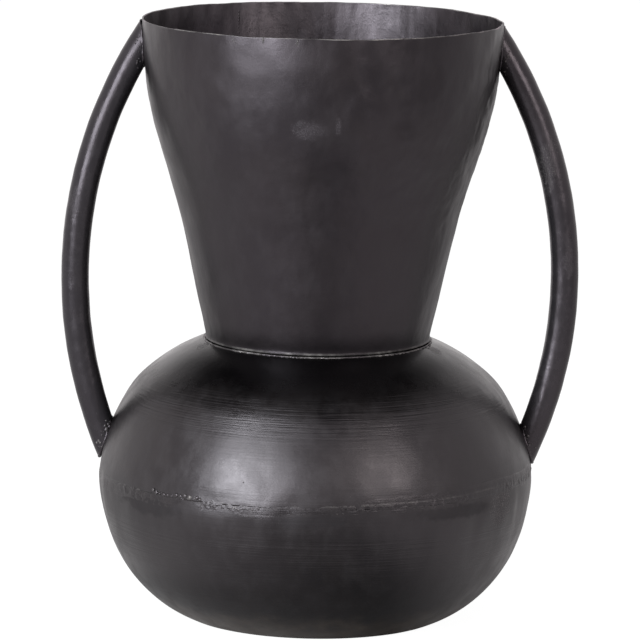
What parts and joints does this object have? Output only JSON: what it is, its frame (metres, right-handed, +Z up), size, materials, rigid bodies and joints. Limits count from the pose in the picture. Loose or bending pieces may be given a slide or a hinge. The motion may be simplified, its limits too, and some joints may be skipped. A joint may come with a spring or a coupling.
{
  "type": "metal vase",
  "caption": "Dark iron floor vase: squashed round bowl, wide flared neck and two tall bent tube handles, with rough weld seams.",
  "frame": {"origin": "middle of the flat base, on the surface that the vase stands on", "axes": "+Z up through the mouth, +X along the line between the two handles, +Y towards the back"},
  "size_m": [0.3738, 0.3146, 0.4321],
  "materials": {
    "blackened_iron": "satin",
    "weld_metal": "satin"
  },
  "bodies": {
    "root": {"lower_bowl": "blackened_iron", "upper_bowl": "blackened_iron", "belly_weld": "weld_metal", "neck": "blackened_iron", "neck_seam_weld": "weld_metal", "neck_weld": "weld_metal", "handle_right": "blackened_iron", "handle_right_top_weld": "weld_metal", "handle_right_foot_weld": "weld_metal", "handle_left": "blackened_iron", "handle_left_top_weld": "weld_metal", "handle_left_foot_weld": "weld_metal"}
  },
  "joints": []
}
